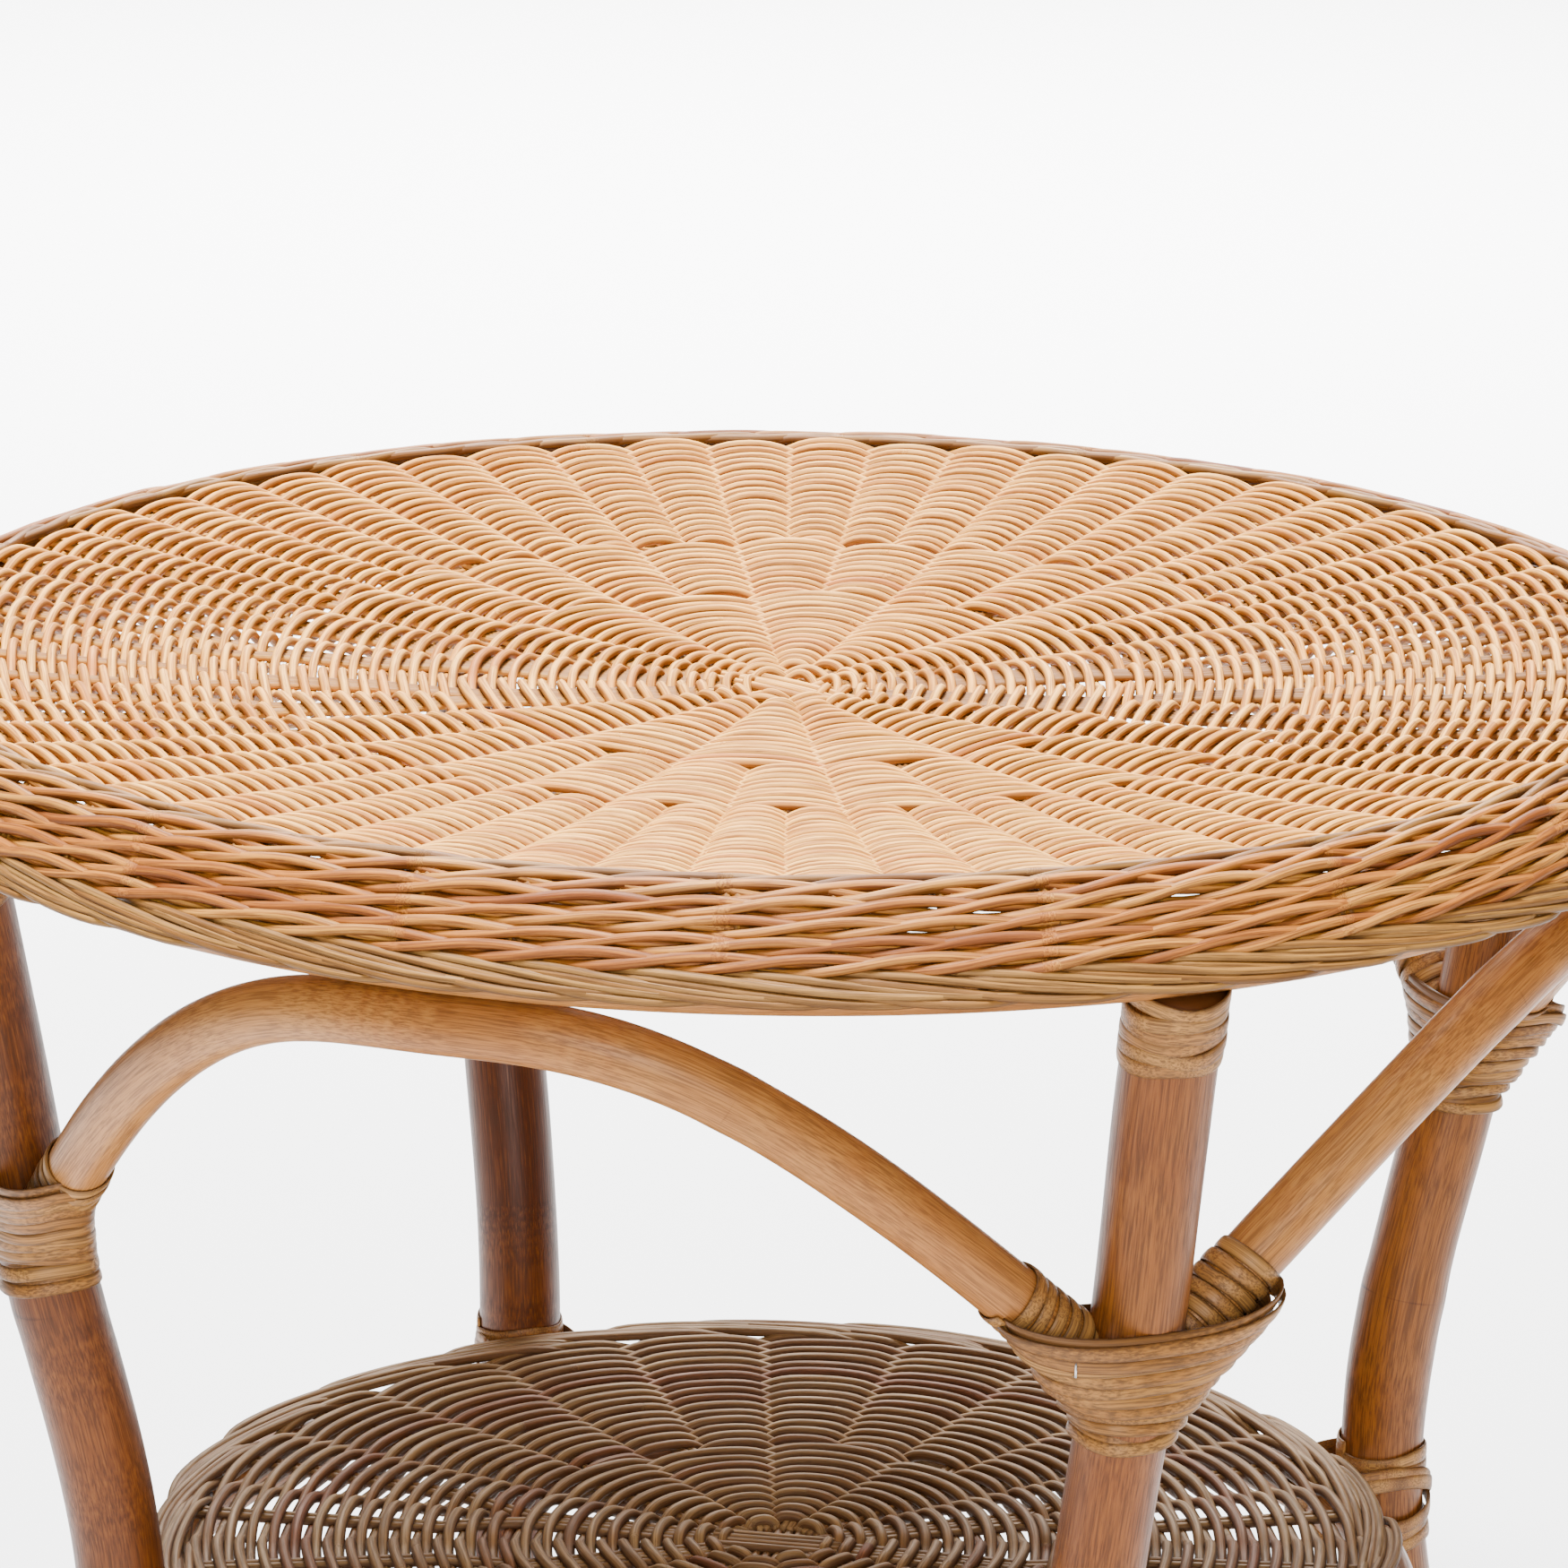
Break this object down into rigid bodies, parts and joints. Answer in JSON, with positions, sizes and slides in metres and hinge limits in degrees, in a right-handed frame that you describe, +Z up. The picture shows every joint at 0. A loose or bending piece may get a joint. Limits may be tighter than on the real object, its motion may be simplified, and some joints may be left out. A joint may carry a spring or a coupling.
{
  "type": "wicker coffee table",
  "caption": "Round wicker coffee table: dished woven top with a waled skirt on bowed pole legs, arched braces and a smaller woven lower shelf.",
  "frame": {"origin": "centre of the footprint, on the floor", "axes": "+Z up, along the table's axis; the four legs stand on the diagonals between X and Y, with the front leg between +X and -Y"},
  "size_m": [0.6, 0.6, 0.47],
  "materials": {
    "pale_cane": "woven peeled cane, pale straw, matt",
    "tan_cane": "woven cane with a reddish tan skin, low sheen",
    "border_cane": "pale yellowish cane, low sheen",
    "shelf_cane": "woven cane, browner, matt",
    "leg_rattan": "bent rattan pole, reddish brown, satin",
    "arch_rattan": "bent rattan pole, tan, satin",
    "peel": "flat rattan peel binding, yellowish tan, satin",
    "steel": "plain steel"
  },
  "bodies": {
    "root": {"arch_back_left": "arch_rattan", "arch_crown_nails": "steel", "arch_end_nails": "steel", "arch_front_right": "arch_rattan", "arch_left_front": "arch_rattan", "arch_right_back": "arch_rattan", "arch_wrap_back_left_at_back": "peel", "arch_wrap_back_left_at_left": "peel", "arch_wrap_front_right_at_front": "peel", "arch_wrap_front_right_at_right": "peel", "arch_wrap_left_front_at_front": "peel", "arch_wrap_left_front_at_left": "peel", "arch_wrap_right_back_at_back": "peel", "arch_wrap_right_back_at_right": "peel", "binding_staples": "steel", "collar_back": "peel", "collar_front": "peel", "collar_left": "peel", "collar_right": "peel", "leg_back": "leg_rattan", "leg_front": "leg_rattan", "leg_left": "leg_rattan", "leg_right": "leg_rattan", "leg_top_screws": "steel", "shelf_binding_back": "peel", "shelf_binding_front": "peel", "shelf_binding_left": "peel", "shelf_binding_right": "peel", "shelf_border": "shelf_cane", "shelf_hoop": "arch_rattan", "shelf_hoop_scarf_nails": "steel", "shelf_hoop_screws": "steel", "shelf_hub_sticks": "shelf_cane", "shelf_stakes": "shelf_cane", "shelf_weave": "shelf_cane", "top_binding_back": "peel", "top_binding_front": "peel", "top_binding_left": "peel", "top_binding_right": "peel", "top_border": "border_cane", "top_hoop": "arch_rattan", "top_hoop_scarf_nails": "steel", "top_hub_sticks": "pale_cane", "top_stakes": "pale_cane", "top_wale": "tan_cane", "top_weave": "pale_cane"}
  },
  "joints": []
}
